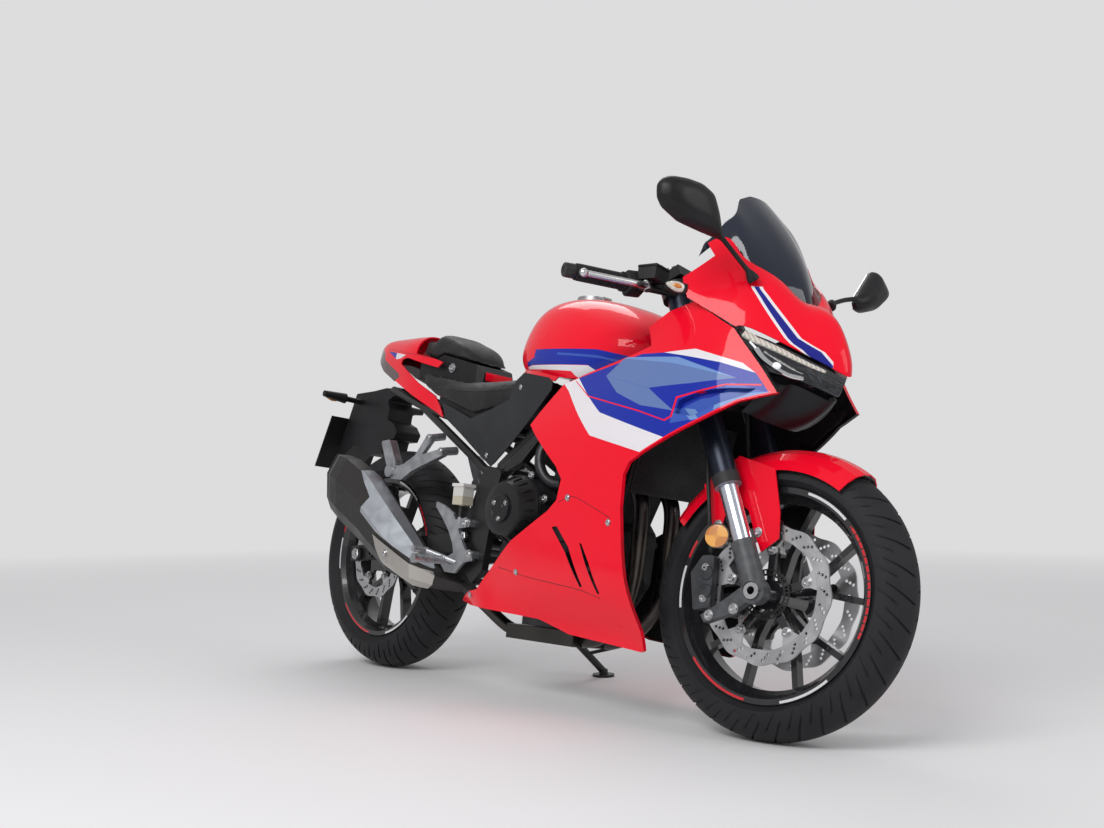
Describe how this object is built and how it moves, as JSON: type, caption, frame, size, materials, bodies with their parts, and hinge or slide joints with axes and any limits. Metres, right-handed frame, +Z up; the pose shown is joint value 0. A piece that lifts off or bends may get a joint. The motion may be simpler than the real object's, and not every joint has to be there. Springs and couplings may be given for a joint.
{
  "type": "sport motorcycle",
  "caption": "Fully faired sport motorcycle leaning on its side stand, with steering, spinning wheels, folding stand and hinged filler cap.",
  "frame": {"origin": "middle of the bounding box, on the ground", "axes": "+X towards the front wheel, +Y to the rider's left, +Z up; the machine leans to +Y on its side stand"},
  "size_m": [2.0747, 0.7724, 1.1544],
  "materials": {
    "black_paint": "satin",
    "cast_alloy": "cast",
    "chain_steel": "oiled",
    "dark_alloy": "painted cast",
    "dark_plastic": "matt grained",
    "engine_black": "satin painted",
    "grey_plastic": "matt",
    "mirror_black": "gloss",
    "plate_white": "blank",
    "red_paint": "gloss",
    "rubber": "matt",
    "rubber_tyre": "matt",
    "seat_cover": "grained vinyl",
    "smoked_glass": "gloss smoked",
    "steel": "brushed"
  },
  "bodies": {
    "chassis": {"chain": "chain_steel", "engine": "engine_black", "exhaust_pipes": "steel", "fairing_left": "red_paint", "fairing_right": "red_paint", "footrest_left": "cast_alloy", "footrest_right": "cast_alloy", "frame": "black_paint", "front_indicator_left": "dark_plastic", "front_indicator_right": "dark_plastic", "fuel_tank": "red_paint", "headlamps": "dark_plastic", "instrument_panel": "dark_plastic", "mirror_left": "mirror_black", "mirror_right": "mirror_black", "muffler": "dark_alloy", "muffler_shield_lower": "cast_alloy", "muffler_shield_upper": "cast_alloy", "nose_panel": "dark_plastic", "number_plate": "plate_white", "pillion_footrest_left": "cast_alloy", "pillion_footrest_right": "cast_alloy", "pillion_seat": "seat_cover", "radiator": "dark_plastic", "rear_caliper": "dark_alloy", "rear_mudguard": "dark_plastic", "rear_shock": "black_paint", "seat": "seat_cover", "seat_base": "dark_plastic", "side_cover_left": "grey_plastic", "side_cover_right": "grey_plastic", "swingarm": "black_paint", "tail_cowl": "red_paint", "tail_lamp": "dark_plastic", "upper_cowl": "red_paint", "windscreen": "smoked_glass"},
    "steering": {"yokes": "black_paint", "fork_left": "dark_alloy", "fork_right": "dark_alloy", "front_axle": "steel", "front_caliper_left": "dark_alloy", "front_caliper_right": "dark_alloy", "front_mudguard": "red_paint", "handlebar_left": "black_paint", "handlebar_right": "black_paint", "brake_hoses": "rubber"},
    "front_wheel_assembly": {"front_wheel": "dark_alloy", "front_tyre": "rubber_tyre", "front_disc_left": "steel", "front_disc_right": "steel"},
    "rear_wheel_assembly": {"rear_wheel": "dark_alloy", "rear_tyre": "rubber_tyre", "rear_disc": "steel", "rear_sprocket": "steel"},
    "side_stand_leg": {"side_stand": "black_paint"},
    "fuel_cap_lid": {"fuel_cap": "steel"}
  },
  "joints": [
    {"name": "steer", "type": "hinge", "parent": "chassis", "child": "steering", "pos_m": [0.48689, -0.03701, 0.74019], "axis": [-0.4293, 0.1222, 0.8949], "range_deg": [-42.1, 23.8]},
    {"name": "front_wheel_spin", "type": "hinge", "parent": "steering", "child": "front_wheel_assembly", "pos_m": [0.74058, -0.09183, 0.29499], "axis": [-0.144, 0.9689, -0.2014], "continuous": true},
    {"name": "rear_wheel_spin", "type": "hinge", "parent": "chassis", "child": "rear_wheel_assembly", "pos_m": [-0.66897, -0.09602, 0.30978], "axis": [-0.0002, 0.9908, -0.1354], "continuous": true},
    {"name": "side_stand_fold", "type": "hinge", "parent": "chassis", "child": "side_stand_leg", "pos_m": [-0.15412, 0.01511, 0.19913], "axis": [0.0009, 0.7385, 0.6742], "range_deg": [0, 88]},
    {"name": "fuel_cap_open", "type": "hinge", "parent": "chassis", "child": "fuel_cap_lid", "pos_m": [0.11293, -0.00443, 0.9791], "axis": [-0.0002, 0.9908, -0.1354], "range_deg": [0, 95]}
  ]
}
